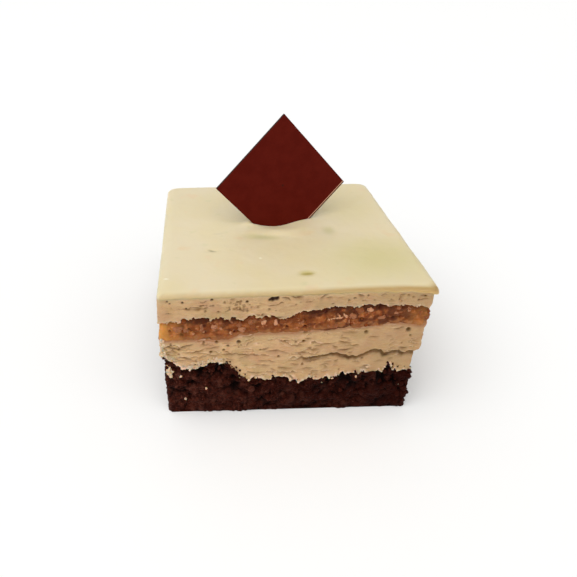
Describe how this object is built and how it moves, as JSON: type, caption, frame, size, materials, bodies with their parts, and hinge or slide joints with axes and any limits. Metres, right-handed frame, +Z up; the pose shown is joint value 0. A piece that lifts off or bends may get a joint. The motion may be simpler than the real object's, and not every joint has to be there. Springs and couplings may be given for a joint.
{
  "type": "praline cake square",
  "caption": "Square layer cake with a brownie base, mousse, a nutty praline layer, pale glaze and a thin chocolate plaque standing on one corner.",
  "frame": {"origin": "middle of the cake at its underside, on the surface that it stands on", "axes": "+Z up; -Y towards the front, the side that the plaque faces; +X to the right"},
  "size_m": [0.0722, 0.0723, 0.0715],
  "materials": {
    "brownie": "moist, crumbly dark chocolate brownie",
    "mousse": "set mousse, knife-cut, with air bubbles and shallow creases",
    "praline": "sticky caramel praline with chopped nuts",
    "glaze": "smooth pale glaze with a soft sheen",
    "plaque": "smooth chocolate plaque with a dark red coloured face"
  },
  "bodies": {
    "root": {"brownie": "brownie", "lower_mousse": "mousse", "praline": "praline", "upper_mousse": "mousse", "glaze": "glaze", "plaque": "plaque"}
  },
  "joints": []
}
